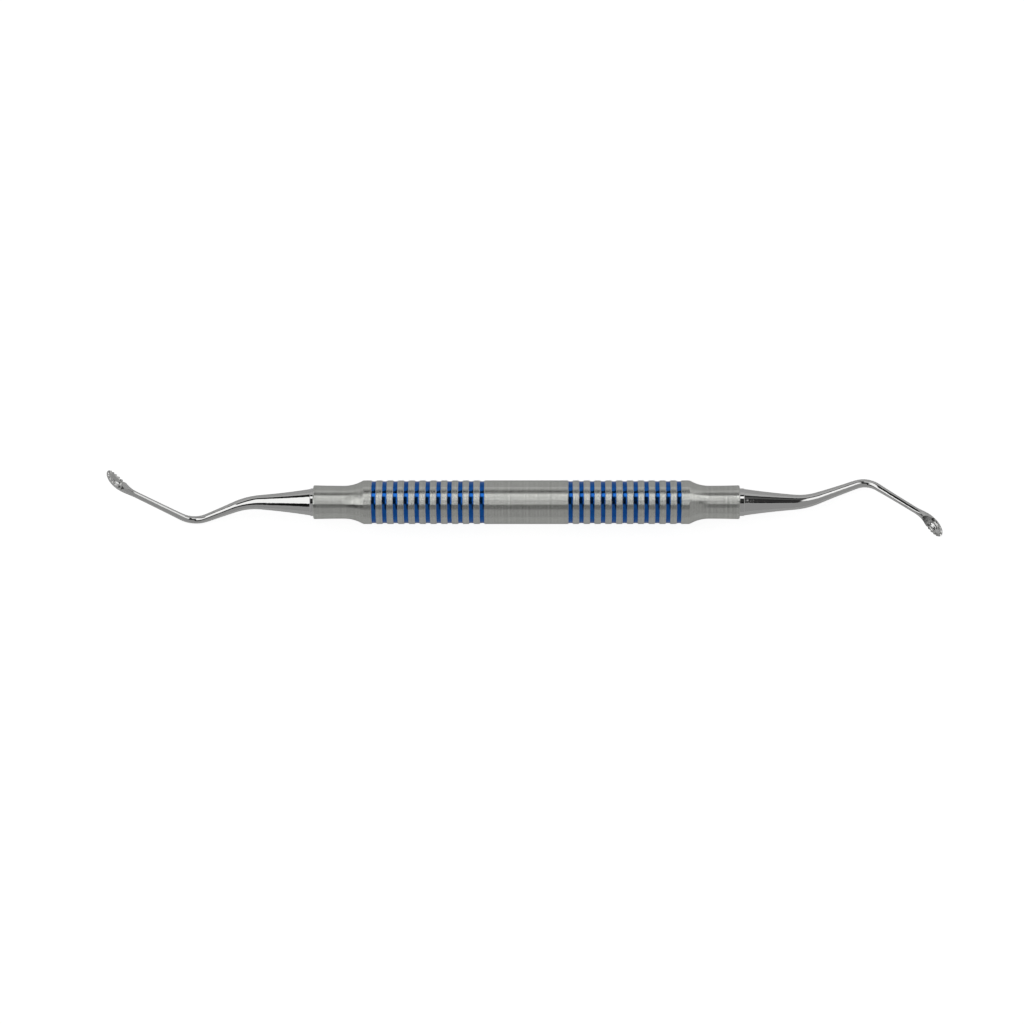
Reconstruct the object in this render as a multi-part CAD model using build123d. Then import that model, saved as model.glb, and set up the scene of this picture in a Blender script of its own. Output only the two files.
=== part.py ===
from build123d import *
import os
from math import asin, atan2, cos, degrees, exp, radians, sin, sqrt, tan

# Double-ended bone curette with serrated spoon tips, lying as it rests on a table.
# Millimetres. The origin is the middle of the handle on its axis, +X runs along the handle,
# +Z is up, and the table is one handle radius below the axis.

# Handle: a turned tube with a plain middle grip, ringed grips and waisted necks
handle_length = 92.6
body_radius = 4.75
body_half_length = 35.75
corner_drop = 0.16
corner_run = 0.38
flare_run = 3.9
waist_radius = 3.575
neck_end_radius = 3.675
end_edge_round = 0.28
bore_radius = 3.0
mouth_chamfer = 0.2

# Colour bands: enamel laid in turned grooves, each with a hollow meniscus on top
groove_count = 11
first_groove = 9.6
groove_pitch = 2.35
groove_width = 0.92
groove_depth = 0.42
groove_edge_break = 0.12
band_edge_drop = 0.13
band_middle_drop = 0.27

# Tips: tang in the bore, collar, tapering cone, S-bend, elbow, thin end shank and spoon
tang_length = 14.0
tang_chamfer = 0.5
collar_edge = 0.12
shank_end_radius = 0.67
s_corner_reach = 14.4
s_bend_radius = 12.0
elbow_offset = 6.43
elbow_swell_spread = 6.0
taper_length = 45.7
shank_stations = 26
flank_stations = 9

# Left tip: run is the straight stretch from the last corner to the nose, slope its fall from the
# handle's axis, and twist the turn of the spoon's face out of the plane of the bends
left_collar_length = 0.7
left_taper_power = 3.3
left_elbow_reach = 26.5
left_elbow_radius = 5.2
left_elbow_swell = 0.02
left_spoon_reach = 40.94
left_spoon_drop = 4.13
left_spoon_bend_radius = 10.7
left_spoon_run = 6.2
left_spoon_slope = 60.6
left_spoon_twist = 5.2
left_notch_count = 13

# Right tip
right_collar_length = 1.0
right_taper_power = 3.0
right_elbow_reach = 28.0
right_elbow_radius = 4.3
right_elbow_swell = 0.2
right_spoon_reach = 40.25
right_spoon_drop = 4.3
right_spoon_bend_radius = 7.4
right_spoon_run = 6.2
right_spoon_slope = 63.2
right_spoon_twist = 32.1
right_notch_count = 11

# Spoon: the shank swells into a forged bulb, whose face is ground by a wheel, scooped and notched.
# Places along it are measured back from the nose's end, and heights from the bulb's axis.
flank_length = 5.9
spoon_radius = 1.33
nose_length = 3.2
wheel_radius = 11.2
wheel_place = 1.5
face_lift = 0.07
hollow_length = 4.6
hollow_radius = 1.08
hollow_lift = 0.19
nose_wall = 0.3
notch_pitch = 0.92
notch_inner_depth = 0.25
notch_inset = 0.3
notch_slope = 32.0
notch_flank = 44.0
notch_reach = 1.3
rim_stations = 8

quarter_turn = 90
half_turn = 180
table_height = -body_radius
handle_half = handle_length / 2


def groove_places():
    """Positions of the grooves along the right half of the handle."""
    return [first_groove + n * groove_pitch for n in range(groove_count)]


def handle_outline():
    """Half section of one half of the handle, from its middle to its end."""
    shoulder = body_radius - corner_drop
    waist_start = body_half_length + flare_run
    edge_start = handle_half - end_edge_round
    with BuildSketch(Plane.XY) as outline:
        with BuildLine():
            Line((0, bore_radius), (0, body_radius))
            Line((0, body_radius), (body_half_length - corner_run, body_radius))
            Line((body_half_length - corner_run, body_radius), (body_half_length, shoulder))
            TangentArc((waist_start, waist_radius), (body_half_length, shoulder), tangent=(-1, 0))
            TangentArc((waist_start, waist_radius), (edge_start, neck_end_radius), tangent=(1, 0))
            TangentArc(
                (edge_start, neck_end_radius),
                (handle_half, neck_end_radius - end_edge_round),
                tangent=(1, 0),
            )
            Line(
                (handle_half, neck_end_radius - end_edge_round),
                (handle_half, bore_radius + mouth_chamfer),
            )
            Line((handle_half, bore_radius + mouth_chamfer), (handle_half - mouth_chamfer, bore_radius))
            Line((handle_half - mouth_chamfer, bore_radius), (0, bore_radius))
        make_face()
        for place in groove_places():
            half = groove_width / 2
            wide = half + groove_edge_break
            with BuildLine():
                Polyline(
                    (place - wide, body_radius),
                    (place - half, body_radius - groove_edge_break),
                    (place - half, body_radius - groove_depth),
                    (place + half, body_radius - groove_depth),
                    (place + half, body_radius - groove_edge_break),
                    (place + wide, body_radius),
                    close=True,
                )
            make_face(mode=Mode.SUBTRACT)
    return outline.sketch


def make_handle():
    """The whole tube: the half section, its mirror image, turned about the axis."""
    half = handle_outline()
    return revolve(half + mirror(half, Plane.YZ), Axis.X)


def make_band(place):
    """One enamel band: it fills the groove's floor and walls and has a hollow top."""
    floor = body_radius - groove_depth
    edge = body_radius - band_edge_drop
    middle = body_radius - band_middle_drop
    start = place - groove_width / 2
    end = place + groove_width / 2
    with BuildSketch(Plane.XY) as section:
        with BuildLine():
            Polyline((start, edge), (start, floor), (end, floor), (end, edge))
            ThreePointArc((end, edge), (place, middle), (start, edge))
        make_face()
    return revolve(section.sketch, Axis.X)


def shank_radius(reach, base, power, elbow_at, swell):
    """Radius of the shank at a distance along its centreline: a concave taper and a fuller elbow."""
    left = max(1 - reach / taper_length, 0)
    fuller = swell * exp(-(((reach - elbow_at) / elbow_swell_spread) ** 2))
    return shank_end_radius + (base - shank_end_radius) * left**power + fuller * left


def bulb_growth(behind_nose):
    """How far the forged bulb stands out from the shank, at a distance behind the nose's end."""
    share = min(max((behind_nose - nose_length) / flank_length, 0), 1)
    return (spoon_radius - shank_end_radius) * (1 - share**2 * (3 - 2 * share))


def spoon_nose():
    """The bulb's round end: a quarter ellipse turned about +X, with its end at the origin."""
    with BuildSketch(Plane.XZ) as section:
        with BuildLine():
            Polyline((0, 0), (-nose_length, 0), (-nose_length, spoon_radius))
            EllipticalCenterArc(
                (-nose_length, 0), nose_length, spoon_radius, 0, arc_size=quarter_turn
            )
        make_face()
    return revolve(section.sketch, Axis.X)


def grinding_wheel():
    """What the wheel takes away: its rim leaves a face that curves up to the nose and into the neck."""
    wheel = Rot(quarter_turn, 0, 0) * Cylinder(wheel_radius, 4 * spoon_radius)
    return Pos(-wheel_place, 0, wheel_radius + face_lift) * wheel


def face_height(behind_nose):
    """Height of the ground face above the bulb's axis, at a distance behind the nose's end."""
    return face_lift + wheel_radius - sqrt(wheel_radius**2 - (behind_nose - wheel_place) ** 2)


def spoon_hollow():
    """The scooped cavity: an egg form whose axis lies above the rim."""
    half = hollow_length / 2
    with BuildSketch(Plane.XZ) as section:
        with BuildLine():
            Line((half, 0), (-half, 0))
            EllipticalCenterArc((0, 0), half, hollow_radius, 0, arc_size=half_turn)
        make_face()
    egg = revolve(section.sketch, Axis.X)
    return Pos(-nose_wall - half, 0, hollow_lift) * egg


def rim_point(behind_nose):
    """Where the ground face meets the bulb's outside, at a distance behind the nose's end."""
    ahead = max(nose_length - behind_nose, 0) / nose_length
    radius = (shank_end_radius + bulb_growth(behind_nose)) * sqrt(1 - ahead**2)
    height = face_height(behind_nose)
    return (-behind_nose, sqrt(max(radius**2 - height**2, 0)), height)


def rim_half():
    """Half of the rim, from the nose's end back past the last notch."""
    turns = [radians(quarter_turn) * n / rim_stations for n in range(rim_stations)]
    behind = [nose_length * (1 - cos(turn)) for turn in turns]
    behind += [nose_length + flank_length * n / rim_stations for n in range(rim_stations // 2 + 1)]
    return Spline(*[rim_point(place) for place in behind])


def rim_notches(notch_count):
    """Grinding cuts across the rim, evenly spaced round the nose, each a slanted V."""
    rim = rim_half()
    slope = radians(notch_slope)
    half_width = notch_reach * tan(radians(notch_flank))
    triangle = Polyline((0, 0), (half_width, notch_reach), (-half_width, notch_reach), close=True)
    cuts = []
    for n in range(notch_count):
        reach = (n - (notch_count - 1) / 2) * notch_pitch
        side = -1 if reach < 0 else 1
        point = rim.position_at(abs(reach), PositionMode.LENGTH)
        along = rim.tangent_at(abs(reach), PositionMode.LENGTH)
        outward = Vector(along.Y, -along.X * side, 0).normalized()
        edge = Vector(point.X, point.Y * side, point.Z)
        inner = edge - outward * notch_inset - Vector(0, 0, notch_inner_depth)
        down = outward * cos(slope) - Vector(0, 0, sin(slope))
        rim_way = Vector(-outward.Y, outward.X, 0)
        frame = Plane(origin=inner, x_dir=rim_way, z_dir=down)
        cuts.append(extrude(frame * make_face(triangle), notch_reach, both=True))
    return cuts


def make_tang(collar_length):
    """The round tang, chamfered at its inner end, and the collar that shows at the handle's mouth."""
    with BuildSketch(Plane.XY) as section:
        with BuildLine():
            Polyline(
                (-tang_length, 0),
                (-tang_length, bore_radius - tang_chamfer),
                (tang_chamfer - tang_length, bore_radius),
                (collar_length - collar_edge, bore_radius),
                (collar_length, bore_radius - collar_edge),
                (collar_length, 0),
                close=True,
            )
        make_face()
    return revolve(section.sketch, Axis.X)


def make_tip(
    collar_length,
    power,
    elbow_reach,
    elbow_radius,
    elbow_swell,
    spoon_reach,
    spoon_drop,
    spoon_bend_radius,
    spoon_run,
    spoon_slope,
    spoon_twist,
    notch_count,
):
    """One tip, forged in one piece: tang, collar, shank and spoon, laid with its elbow on the table."""
    slope = radians(spoon_slope)
    corners = [
        (collar_length, 0),
        (s_corner_reach, 0),
        (elbow_reach, elbow_offset),
        (spoon_reach, -spoon_drop),
        (spoon_reach + spoon_run * cos(slope), -spoon_drop - spoon_run * sin(slope)),
    ]
    path = FilletPolyline(*corners, radius=[s_bend_radius, elbow_radius, spoon_bend_radius]).wire()
    length = path.length
    nose_start = length - nose_length
    flank_start = nose_start - flank_length
    rise = atan2(elbow_offset, elbow_reach - s_corner_reach)
    fall = atan2(elbow_offset + spoon_drop, spoon_reach - elbow_reach)
    before_elbow = (elbow_reach - s_corner_reach) / cos(rise)
    elbow_at = s_corner_reach - collar_length + before_elbow - elbow_radius * tan((rise + fall) / 4)
    collar_radius = bore_radius - collar_edge
    reaches = [flank_start * n / shank_stations for n in range(shank_stations)]
    reaches += [flank_start + flank_length * n / flank_stations for n in range(flank_stations + 1)]
    sections = []
    for reach in reaches:
        radius = shank_radius(reach, collar_radius, power, elbow_at, elbow_swell)
        place = Plane(
            origin=path.position_at(reach, PositionMode.LENGTH),
            x_dir=(0, 0, 1),
            z_dir=path.tangent_at(reach, PositionMode.LENGTH),
        )
        sections.append(place * Circle(radius + bulb_growth(length - reach)))

    turn = radians(spoon_twist)
    backward = Vector(-sin(slope), -cos(slope), 0)
    spoon_place = Plane(
        origin=path @ 1,
        x_dir=(cos(slope), -sin(slope), 0),
        z_dir=backward * cos(turn) + Vector(0, 0, sin(turn)),
    )
    tip = make_tang(collar_length) + loft(sections) + spoon_place * spoon_nose()
    for cut in [grinding_wheel(), spoon_hollow(), *rim_notches(notch_count)]:
        tip -= spoon_place * cut

    # the elbow's lowest point and its thickness there give the turn that lays it on the table
    elbow_tangent = elbow_radius * tan((rise + fall) / 2)
    deepest = elbow_offset - elbow_tangent * sin(rise) + elbow_radius * (1 - cos(rise))
    thick = shank_radius(elbow_at, collar_radius, power, elbow_at, elbow_swell)
    roll = degrees(asin((-table_height - thick) / deepest))
    return Pos(handle_half, 0, 0) * Rot(-roll, 0, 0) * tip


os.makedirs("parts", exist_ok=True)

export_step(make_handle(), "parts/handle.step")

right_tip = make_tip(
    right_collar_length,
    right_taper_power,
    right_elbow_reach,
    right_elbow_radius,
    right_elbow_swell,
    right_spoon_reach,
    right_spoon_drop,
    right_spoon_bend_radius,
    right_spoon_run,
    right_spoon_slope,
    right_spoon_twist,
    right_notch_count,
)
export_step(right_tip, "parts/tip_right.step")

left_tip = make_tip(
    left_collar_length,
    left_taper_power,
    left_elbow_reach,
    left_elbow_radius,
    left_elbow_swell,
    left_spoon_reach,
    left_spoon_drop,
    left_spoon_bend_radius,
    left_spoon_run,
    left_spoon_slope,
    left_spoon_twist,
    left_notch_count,
)
export_step(Rot(0, 0, half_turn) * left_tip, "parts/tip_left.step")

for number, place in enumerate(groove_places(), start=1):
    export_step(make_band(place), f"parts/band_right_{number:02d}.step")
    export_step(make_band(-place), f"parts/band_left_{number:02d}.step")
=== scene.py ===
# %% [markdown]
# # Dressing a double-ended bone curette
#
# The curette is a turned steel tube with a toothed spoon at each end and twenty-two blue rings.
# Its shapes come ready made in the frame, each at its real size. What is left for Blender is the
# part that the eye judges first: satin metal from the lathe, polished metal from the buffing wheel,
# and coloured lacquer in the grooves. Bright metal has almost no colour of its own, so the lesson
# spends as much care on what the metal mirrors as on the metal.

# %% Load the frame
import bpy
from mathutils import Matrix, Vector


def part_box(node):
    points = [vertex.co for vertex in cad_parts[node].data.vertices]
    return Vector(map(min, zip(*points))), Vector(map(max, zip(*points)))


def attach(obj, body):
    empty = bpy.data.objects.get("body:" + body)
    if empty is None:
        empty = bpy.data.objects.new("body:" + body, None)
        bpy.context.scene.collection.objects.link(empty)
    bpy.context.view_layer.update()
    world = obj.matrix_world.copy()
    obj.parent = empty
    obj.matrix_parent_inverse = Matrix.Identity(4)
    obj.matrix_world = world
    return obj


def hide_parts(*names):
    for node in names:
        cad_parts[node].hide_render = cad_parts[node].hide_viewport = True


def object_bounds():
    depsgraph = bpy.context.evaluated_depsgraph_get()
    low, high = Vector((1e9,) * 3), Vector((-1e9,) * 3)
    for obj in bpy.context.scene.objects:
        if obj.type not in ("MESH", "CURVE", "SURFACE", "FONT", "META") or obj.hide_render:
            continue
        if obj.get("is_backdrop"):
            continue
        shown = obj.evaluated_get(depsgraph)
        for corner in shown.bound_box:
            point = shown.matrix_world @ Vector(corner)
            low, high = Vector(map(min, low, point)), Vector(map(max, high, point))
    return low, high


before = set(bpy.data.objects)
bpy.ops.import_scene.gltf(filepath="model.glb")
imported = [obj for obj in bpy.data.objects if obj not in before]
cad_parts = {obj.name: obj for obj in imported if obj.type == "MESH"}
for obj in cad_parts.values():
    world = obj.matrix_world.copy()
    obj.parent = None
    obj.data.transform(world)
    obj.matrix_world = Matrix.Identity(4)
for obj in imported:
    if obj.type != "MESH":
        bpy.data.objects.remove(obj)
print("solids in the frame", len(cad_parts))

# %% [markdown]
# The box of the object is written down before anything is added, and again at the end. Lengths are
# read from the frame, so the script follows the model when a size changes.

# %% Measure the frame
import math

import bpy
import numpy as np
from mathutils import Matrix, Vector

MM = 0.001

cad_box = [list(corner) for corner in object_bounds()]
handle_low, handle_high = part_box("handle")
body_radius = (handle_high[2] - handle_low[2]) / 2
floor_height = cad_box[0][2]
ring_low, ring_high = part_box("band_right_01")
next_ring_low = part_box("band_right_02")[0]
first_ring = (ring_low[0] + ring_high[0]) / 2
ring_pitch = next_ring_low[0] - ring_low[0]
ring_width = ring_high[0] - ring_low[0]
print("box of the solids in mm", [[round(v / MM, 2) for v in corner] for corner in cad_box])
print("ring pitch and width in mm", round(ring_pitch / MM, 3), round(ring_width / MM, 3))

# %% [markdown]
# The picture is taken from nearly straight above, with a long lens, so that both ends of a slim
# tool keep the same scale. The camera stands a little to the right of the middle and leans back by
# less than a degree. It is aimed to do so, because a lens shift would stay in every other view.

# %% Camera
camera_place = Vector((7.4, -0.61, 860)) * MM
camera_aim = Vector((-3.13, -2.13, 0)) * MM
lens_length = 139.08

lens = bpy.data.cameras.new("camera")
lens.lens = lens_length
lens.sensor_width = 36
lens.clip_start = 0.05
lens.clip_end = 20
camera = bpy.data.objects.new("camera", lens)
bpy.context.scene.collection.objects.link(camera)
backwards = (camera_place - camera_aim).normalized()
rightwards = Vector((0, 1, 0)).cross(backwards).normalized()
upwards = backwards.cross(rightwards)
bearing = Matrix((rightwards, upwards, backwards)).transposed().to_4x4()
camera.matrix_world = Matrix.Translation(camera_place) @ bearing
bpy.context.scene.camera = camera
bpy.context.scene.view_settings.view_transform = "Standard"
print("camera distance in mm", round((camera_aim - camera_place).length / MM, 1))

# %% [markdown]
# A material is a graph of nodes, and most of such a graph is arithmetic. The class below wraps one
# socket and gives it Python's operators, so that a mask is written as a formula and each operator
# adds its Math node. Every other node comes from the one function `node`.

# %% A socket that can be calculated with
class Wire:
    """One output socket, and the operators that add Math nodes to its tree."""

    def __init__(self, tree, socket):
        self.tree = tree
        self.socket = socket

    def math(self, operation, *others):
        """Adds the Math node of that operation, with this wire as its first input."""
        inputs = dict(enumerate((self, *others)))
        return node(self.tree, "ShaderNodeMath", {"operation": operation}, inputs)

    def __add__(self, other):
        return self.math("ADD", other)

    def __sub__(self, other):
        return self.math("SUBTRACT", other)

    def __mul__(self, other):
        return self.math("MULTIPLY", other)

    def __truediv__(self, other):
        return self.math("DIVIDE", other)

    def __rsub__(self, other):
        return node(self.tree, "ShaderNodeMath", {"operation": "SUBTRACT"}, {0: other, 1: self})

    __radd__ = __add__
    __rmul__ = __mul__

    def above(self, start, end):
        """0 below start, 1 above end and an S curve between. With end under start it falls."""
        settings = {"interpolation_type": "SMOOTHSTEP"}
        low, high, first, last = (start, end, 0, 1) if end > start else (end, start, 1, 0)
        values = {"Value": self, "From Min": low, "From Max": high, "To Min": first, "To Max": last}
        return node(self.tree, "ShaderNodeMapRange", settings, values)

    def between(self, low, high, edge):
        """1 from low to high and 0 outside, with edges that fade over that much to either side."""
        return self.above(low - edge, low + edge) * self.above(high + edge, high - edge)

    def inside(self, low, high, edge=1.2):
        """The same between two limits that are wires themselves."""
        return (self - low).above(-edge, edge) * (self - high).above(edge, -edge)


def node(tree, kind, settings=None, inputs=None, output=0):
    """Adds a node with its settings, then sets or links its sockets, and returns one output."""
    made = tree.nodes.new(kind)
    for name, value in (settings or {}).items():
        setattr(made, name, value)
    for name, value in (inputs or {}).items():
        if isinstance(value, Wire):
            tree.links.new(value.socket, made.inputs[name])
        else:
            made.inputs[name].default_value = value
    return Wire(tree, made.outputs[output]) if len(made.outputs) else None


def axes(vector):
    """The three parts of a vector as wires."""
    first = node(vector.tree, "ShaderNodeSeparateXYZ", None, {0: vector})
    return [Wire(vector.tree, part) for part in first.socket.node.outputs]


# %% [markdown]
# Bright metal shows the room. A photographer sets a slim steel tool in a tent of white cloth with
# an opening for the lens and black strips that run along the tool, one on each side. The strips
# draw the dark lines that make polished metal look round. The tent could be built from cards and
# lamps, but it is so large beside the tool that only the direction counts. So it is painted into
# the world as a function of two angles in degrees: `across`, from straight up towards the far
# side of the tool, and `along`, towards its right end.

# %% Two angles over the tool
world = bpy.data.worlds.new("tent")
bpy.context.scene.world = world
world.use_nodes = True
sky = world.node_tree
sky.nodes.clear()

to_x, to_y, to_z = axes(node(sky, "ShaderNodeTexCoord", output="Generated"))
degree = 180 / math.pi
across = to_y.math("ARCTAN2", to_z) * degree
along = to_x.math("ARCSINE") * degree
print("nodes in the tent so far", len(sky.nodes))

# %% [markdown]
# Seen from above, a surface that tilts by some angle mirrors what lies at twice that angle. The
# sides of the handle and the cones hardly face either end of the tool, so they read the tent near
# 0 degrees along, and the rising and falling shanks read it further left or right. Each strip is
# therefore given its place for the handle, and is moved on the left and on the right until the dark
# lines on the shanks lie as in the photograph. The far strip also dips where the thin shank of the
# right end looks, which widens the dark band there.

# %% The black strips
left_part = along.above(-3, -10)
right_part = along.above(17, 23)
lean_start, near_lean = -10, 0.3
dip_start, dip_bottom, dip_end = -20, -48, (-54, -50)
edge_dip, end_dip = 1.15, 0.9


def moved(middle, left, right=0):
    """An angle that holds over the middle, moved by two others on the left and on the right."""
    return middle + left_part * left + right_part * right


lean = (along.math("MINIMUM", lean_start) - lean_start) * near_lean
near_strip = (moved(-10, -32, 21), moved(5, -14, 7) + lean)

fall = along.math("MINIMUM", dip_start).math("MAXIMUM", dip_bottom) - dip_start
dip = fall * along.above(*dip_end)
far_strip = (50 + dip * edge_dip, moved(64, 9) + dip * end_dip)
strips = across.inside(*near_strip).math("MAXIMUM", across.inside(*far_strip))
print("nodes in the tent so far", len(sky.nodes))

# %% [markdown]
# Between the strips hangs the bright roof, and beyond them are the grey walls, a little lighter on
# the far side. The roof has a dark opening for the lens, whose picture is the black patch on the
# right cone, and a dim corner beside it. A bright card stands to the right and lights the surfaces
# that tilt that way. The camera itself sees plain white behind the floor.

# %% Roof, walls and side card
wall_light, far_wall_gain = 0.26, 0.13
roof_strength, roof_end = 0.95, (70, 62)
lens_darkness, corner_darkness, strip_darkness = 0.97, 0.92, 0.97
card_light = 0.75
white = (1, 1, 1, 1)


def patch(along_limits, across_limits, edge_along=2, edge_across=2):
    """1 on a rectangle of directions that is given by its limits in degrees, and 0 around it."""
    return along.between(*along_limits, edge_along) * across.between(*across_limits, edge_across)


wall = wall_light + far_wall_gain * across.above(0, 60)
roof = roof_strength * along.math("ABSOLUTE").above(*roof_end)
lens_opening = patch((-12, 20), (-18, 31))
dim_corner = patch((8, 20), (25, 70))
roof_light = roof * (1 - lens_darkness * lens_opening) * (1 - corner_darkness * dim_corner)
under_roof = across.inside(near_strip[1], far_strip[0])
side_card = patch((43, 64), (38, 112), edge_across=3)
without_card = (wall + (roof_light - wall) * under_roof) * (1 - strip_darkness * strips)
tent_light = without_card * (1 - side_card) + side_card * card_light

camera_ray = node(sky, "ShaderNodeLightPath", output="Is Camera Ray")
backdrop_light = camera_ray + (1 - camera_ray) * tent_light
backdrop = node(sky, "ShaderNodeBackground", None, {"Strength": backdrop_light, "Color": white})
node(sky, "ShaderNodeOutputWorld", None, {"Surface": backdrop})
print("nodes in the tent", len(sky.nodes))

# %% [markdown]
# The tool lies on a plain pale sheet. One large square is enough, at the height of the lowest point
# of the solids. The sheet is lifted to white for the camera, which leaves the shadow under the
# tool, and only a little of that glow is given to the metal, as the light that paper throws up at a
# tool's underside.

# %% Floor
floor_half = 1.6
sheet_grey = (0.5, 0.5, 0.5, 1)
glow_for_camera, glow_in_metal = 0.86, 0.12

corners = np.array([(-1, -1), (1, -1), (1, 1), (-1, 1)]) * floor_half
places = np.column_stack([corners, np.full(4, floor_height)])
sheet = bpy.data.meshes.new("floor")
sheet.from_pydata(places.tolist(), [], [(0, 1, 2, 3)])
floor = bpy.data.objects.new("floor", sheet)
bpy.context.scene.collection.objects.link(floor)
floor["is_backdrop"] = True

paper = bpy.data.materials.new("white_sheet")
paper.use_nodes = True
paper_tree = paper.node_tree
paper_tree.nodes.clear()
seen_directly = node(paper_tree, "ShaderNodeLightPath", output="Is Camera Ray")
seen_in_metal = node(paper_tree, "ShaderNodeLightPath", output="Is Glossy Ray")
glow_strength = seen_directly * glow_for_camera + seen_in_metal * glow_in_metal
glow = node(paper_tree, "ShaderNodeEmission", None, {"Strength": glow_strength, "Color": white})
matt = node(paper_tree, "ShaderNodeBsdfDiffuse", None, {"Color": sheet_grey})
both = node(paper_tree, "ShaderNodeAddShader", None, {0: matt, 1: glow})
node(paper_tree, "ShaderNodeOutputMaterial", None, {"Surface": both})
sheet.materials.append(paper)
print("floor at mm", round(floor_height / MM, 2))

# %% [markdown]
# The handle is one lathe job, and its look hangs on edges that a lathe leaves crisp: flat lands
# between the grooves, a small break at each groove, a shoulder where the neck begins. A solid that
# comes through a mesh file has its normals smoothed over such small edges, which makes every land
# look like a barrel. So the handle is turned again here, at the same sizes, as a closed profile
# carried round the axis. A Screw modifier could carry it too, but an array needs no modifier, and
# each part of the profile stays a named piece: grooves, arcs and breaks.

# %% Grooves and arcs of the profile
groove_count = 11
groove_depth = 0.42 * MM
groove_break = 0.12 * MM


def groove(middle):
    """Six points of one groove, from its left edge over its walls and floor to its right edge."""
    half_widths = np.array([1, 0, 0, 0, 0, 1]) * groove_break + ring_width / 2
    sides = np.array([-1, -1, -1, 1, 1, 1])
    depths = np.array([0, groove_break, groove_depth, groove_depth, groove_break, 0])
    return np.column_stack([middle + sides * half_widths, body_radius - depths])


def level_arc(start, end, count):
    """An arc that leaves its start level. Radius = (run squared + rise squared) / 2 rise."""
    run, rise = end[0] - start[0], end[1] - start[1]
    radius = (run * run + rise * rise) / (2 * abs(rise))
    turn = np.linspace(0, math.acos(1 - abs(rise) / radius), count)
    places = start[0] + np.sign(run) * radius * np.sin(turn)
    return np.column_stack([places, start[1] + np.sign(rise) * radius * (1 - np.cos(turn))])


grooves = [groove(first_ring + ring_pitch * count) for count in range(groove_count)]
print("grooves on each side", len(grooves))

# %% [markdown]
# From the last groove the profile runs over the body's end to the shoulder, falls in an arc to the
# waist of the neck, rises a little to the neck's end, and turns over a round rim into the bore. The
# other half is its mirror image. A straight line joins the halves over the plain middle grip, and
# another one closes the profile along the bore.

# %% Section of the handle
handle_half = handle_high[0]
shoulder = (35.75 * MM, body_radius - 0.16 * MM)
waist = (39.65 * MM, 3.575 * MM)
rim_radius = 0.28 * MM
neck_end = (handle_half - rim_radius, 3.675 * MM)
rim_end = (handle_half, neck_end[1] - rim_radius)
bore_radius = 3.0 * MM
mouth_break = 0.2 * MM
flare_points, neck_points, rim_points = 14, 9, 6

body_end = np.array([(shoulder[0] - 0.38 * MM, body_radius)])
flare = level_arc(waist, shoulder, flare_points)[::-1]
neck = level_arc(waist, neck_end, neck_points)[1:]
rim = level_arc(neck_end, rim_end, rim_points)[1:]
mouth = np.array([(handle_half, bore_radius + mouth_break),
                  (handle_half - mouth_break, bore_radius)])
right_half = np.concatenate([*grooves, body_end, flare, neck, rim, mouth])
left_half = right_half[::-1] * (-1, 1)
section = np.concatenate([left_half, right_half])
print("points in the section", len(section))

# %% [markdown]
# Each point of the section becomes a circle, and the circles are joined by quads. Edges that turn
# more than a few degrees are marked sharp, which keeps the curves of the neck smooth and the
# grooves crisp.

# %% Turn the handle
handle_steps = 192
sharp_angle = math.radians(14)


def turned(name, profile, count):
    """Carries a closed profile of (x, radius) round x: y = radius sin turn, z = radius cos turn."""
    turn = np.arange(count) * (2 * math.pi / count)
    places = np.repeat(profile[:, :1], count, axis=1)
    aside, upward = np.outer(profile[:, 1], np.sin(turn)), np.outer(profile[:, 1], np.cos(turn))
    circles = np.stack([places, aside, upward], axis=-1)
    here, around = np.meshgrid(np.arange(len(profile)), np.arange(count), indexing="ij")
    row, next_row = here * count, (here + 1) % len(profile) * count
    beside = (around + 1) % count
    quads = np.stack([row + around, next_row + around, next_row + beside, row + beside], axis=-1)
    mesh = bpy.data.meshes.new(name)
    mesh.from_pydata(circles.reshape(-1, 3).tolist(), [], quads.reshape(-1, 4).tolist())
    mesh.shade_smooth()
    mesh.set_sharp_from_angle(angle=sharp_angle)
    piece = bpy.data.objects.new(name, mesh)
    bpy.context.scene.collection.objects.link(piece)
    return piece


turned_handle = turned("turned_handle", section, handle_steps)
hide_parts("handle")
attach(turned_handle, "root")
print("faces in the turned handle", len(turned_handle.data.polygons))

# %% [markdown]
# Each groove holds a ring of lacquer. It is laid on wet and draws up a little at the walls, so its
# top is slightly hollow. Twenty-two rings of a few points each are turned in the same way as the
# handle, and each stands for the solid in its own groove.

# %% Rings of lacquer
ring_steps = 144
top_points = 7
edge_drop = 0.17 * MM
hollow = 0.03 * MM


def ring_section(middle):
    """Walls and floor of the groove, closed by a top that dips to its middle as a parabola."""
    spread = np.linspace(-1, 1, top_points)
    drops = edge_drop + hollow * (1 - spread**2)
    top = np.column_stack([middle + spread * ring_width / 2, body_radius - drops])
    bottom = np.array([(middle + ring_width / 2, body_radius - groove_depth),
                       (middle - ring_width / 2, body_radius - groove_depth)])
    return np.concatenate([top, bottom])


blue_rings = []
for side, sign in (("left", -1), ("right", 1)):
    for count in range(groove_count):
        middle = sign * (first_ring + ring_pitch * count)
        ring = turned(f"lacquer_{side}_{count + 1:02d}", ring_section(middle), ring_steps)
        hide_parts(f"band_{side}_{count + 1:02d}")
        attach(ring, "root")
        blue_rings.append(ring)
print("rings of lacquer", len(blue_rings))

# %% [markdown]
# Three finishes cover the tool. Each starts the same way, with the place on the object in
# millimetres, and ends in one Principled shader. The patterns between them are noise and waves,
# because no two marks of a lathe or a buffing wheel are alike.

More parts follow.
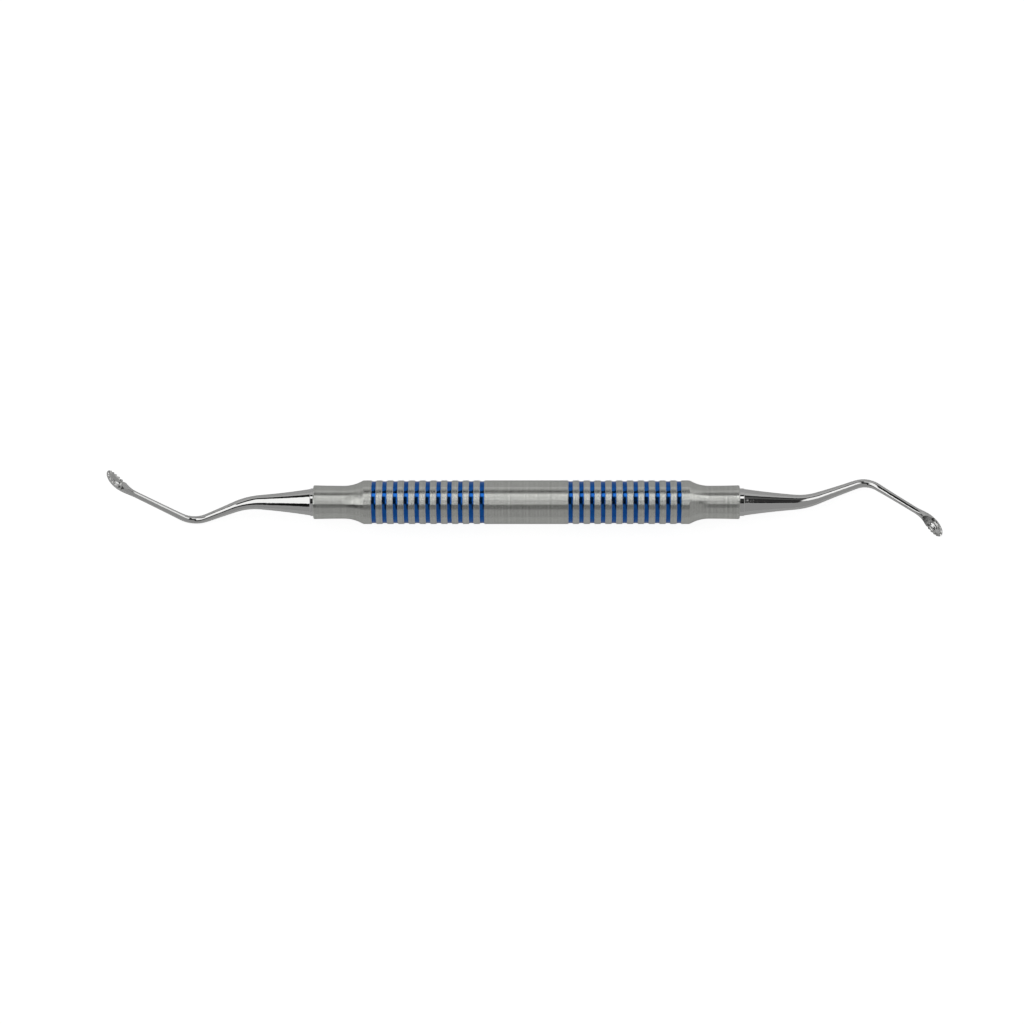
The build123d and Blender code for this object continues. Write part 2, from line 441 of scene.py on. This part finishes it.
# %% Start and end of every finish
class Finish:
    """A material, the place on the object in millimetres, and the patterns made from it."""

    def __init__(self, name):
        self.material = bpy.data.materials.new(name)
        self.material.use_nodes = True
        self.tree = self.material.node_tree
        self.tree.nodes.clear()
        metres = self.add("ShaderNodeTexCoord", output="Object")
        self.place = self.add("ShaderNodeVectorMath", {"operation": "SCALE"},
                              {0: metres, "Scale": 1 / MM})
        self.x = axes(self.place)[0]

    def add(self, kind, settings=None, inputs=None, output=0):
        """Adds any node to this material."""
        return node(self.tree, kind, settings, inputs, output)

    def lines(self, pitch, start, detail=0):
        """Noise that changes only along the tool, with about one ridge per pitch."""
        return self.add("ShaderNodeTexNoise", {"noise_dimensions": "1D"},
                        {"W": self.x + start, "Scale": 1 / pitch, "Detail": detail})

    def threads(self, pitch, wander):
        """A wave along the tool from 0 to 1, whose phase wanders by that part of a turn."""
        return ((self.x / pitch + wander) * (2 * math.pi)).math("SINE") * 0.5 + 0.5

    def cloud(self, size, detail=2):
        """Noise in all directions, with spots of about that size."""
        return self.add("ShaderNodeTexNoise", None,
                        {"Vector": self.place, "Scale": 1 / size, "Detail": detail})

    def bump(self, height, depth):
        """Turns a height from 0 to 1 into a bump of that depth in millimetres."""
        return self.add("ShaderNodeBump", None,
                        {"Height": height, "Distance": depth * MM, "Strength": 1.0})

    def mix(self, factor, first, second):
        """The first colour where the factor is 0 and the second where it is 1."""
        colours = {0: factor, 6: first, 7: second}
        return self.add("ShaderNodeMix", {"data_type": "RGBA"}, colours, output=2)

    def close(self, **sockets):
        """Sets the Principled shader's sockets and returns the material."""
        words = {name.replace("_", " "): value for name, value in sockets.items()}
        shader = self.add("ShaderNodeBsdfPrincipled", None, words)
        self.add("ShaderNodeOutputMaterial", None, {"Surface": shader})
        print("nodes in", self.material.name, len(self.tree.nodes))
        return self.material


finishes = {}

# %% [markdown]
# The handle is turned on a lathe and left satin. The tool's point cuts rings too fine to see one by
# one, but together they spread every reflection along the handle and leave it sharp around it. An
# anisotropic shader would need a tangent, so the rings themselves are modelled, as two fine waves
# along x. Their phases wander, so that they never line up into a coarse pattern, and a faint stain
# keeps the grey from looking painted.

# %% Turned steel
def turned_steel():
    """Rings of two pitches as a bump, under a tone that changes with streaks, stain and grain."""
    dull, bright = (0.79, 0.80, 0.76, 1), (0.94, 0.95, 0.91, 1)
    steel = Finish("turned_steel")
    coarse = steel.lines(pitch=0.34, start=11, detail=2)
    grain = steel.cloud(size=0.25, detail=1)
    fine_rings = steel.threads(pitch=0.052, wander=grain * 0.5)
    coarse_rings = steel.threads(pitch=0.083, wander=coarse * 0.7)
    ridges = steel.bump(fine_rings * 0.6 + coarse_rings * 0.4, depth=0.0085)
    streaks = steel.lines(pitch=0.5, start=40, detail=3)
    stain = steel.cloud(size=4)
    blotches = (streaks * 0.4 + stain * 0.2 + grain * 0.4).above(0.35, 0.65)
    return steel.close(Base_Color=steel.mix(blotches, dull, bright), Metallic=1.0,
                       Roughness=0.09 + 0.05 * grain, Normal=ridges)


finishes["turned_steel"] = turned_steel()

# %% [markdown]
# The two tips are forged, ground and then polished on a soft wheel. They mirror the tent almost
# perfectly. The wheel leaves a faint waviness and a thin haze, and it hardly reaches into the
# spoons, which keep more of the dull ground surface. An image of scratches could show this, but
# noise has no seams and follows the object from every side.

# %% Polished steel
def polished_steel():
    """A near mirror, whose roughness grows with the haze and from the start of each spoon."""
    spoon_start = (83.5, 85)
    steel = Finish("polished_steel")
    waves = steel.bump(steel.cloud(size=1.6, detail=1), depth=0.002)
    haze = steel.cloud(size=0.7)
    ground = steel.x.math("ABSOLUTE").above(*spoon_start)
    return steel.close(Base_Color=(0.93, 0.93, 0.92, 1), Metallic=1.0,
                       Roughness=0.02 + 0.04 * haze + 0.12 * ground, Normal=waves)


finishes["polished_steel"] = polished_steel()

# %% [markdown]
# The rings are a transparent blue lacquer baked onto the bright floor of each groove. Light goes
# through the colour, mirrors on the steel and comes back, so the blue is that of a tinted mirror
# under a clear coat: nearly black where the tent is dark, and vivid where it is bright.

# %% Blue lacquer
def blue_lacquer():
    """A blue mirror that pools between two shades, over brushed lines and under a clear coat."""
    deep, clear = (0.004, 0.15, 0.62, 1), (0.008, 0.19, 0.74, 1)
    lacquer = Finish("blue_lacquer")
    brushed = lacquer.bump(lacquer.lines(pitch=0.08, start=7), depth=0.004)
    pools = lacquer.cloud(size=1.2).above(0.3, 0.7)
    return lacquer.close(Base_Color=lacquer.mix(pools, deep, clear), Metallic=1.0, Roughness=0.14,
                         Normal=brushed, Coat_Weight=0.4, Coat_Roughness=0.04)


finishes["blue_enamel"] = blue_lacquer()

# %% [markdown]
# The pieces made here take their finish directly. The solids of the frame carry a placeholder for
# each slot of the record, named after the slot, and the finish of that name takes its place.

# %% Put the finishes on
turned_handle.data.materials.append(finishes["turned_steel"])
for ring in blue_rings:
    ring.data.materials.append(finishes["blue_enamel"])
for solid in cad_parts.values():
    for holder in solid.material_slots:
        holder.material = finishes[holder.name.split(".")[0]]
print("dressed solids", len(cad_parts))

# %% [markdown]
# The last cell compares the dressed object with the box of the solids.

# %% Compare the boxes and finish
dressed_box = [list(corner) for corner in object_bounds()]
growth = np.abs(np.array(dressed_box) - np.array(cad_box)).max()
print("the dressed box differs by", round(float(growth) / MM, 4), "mm")
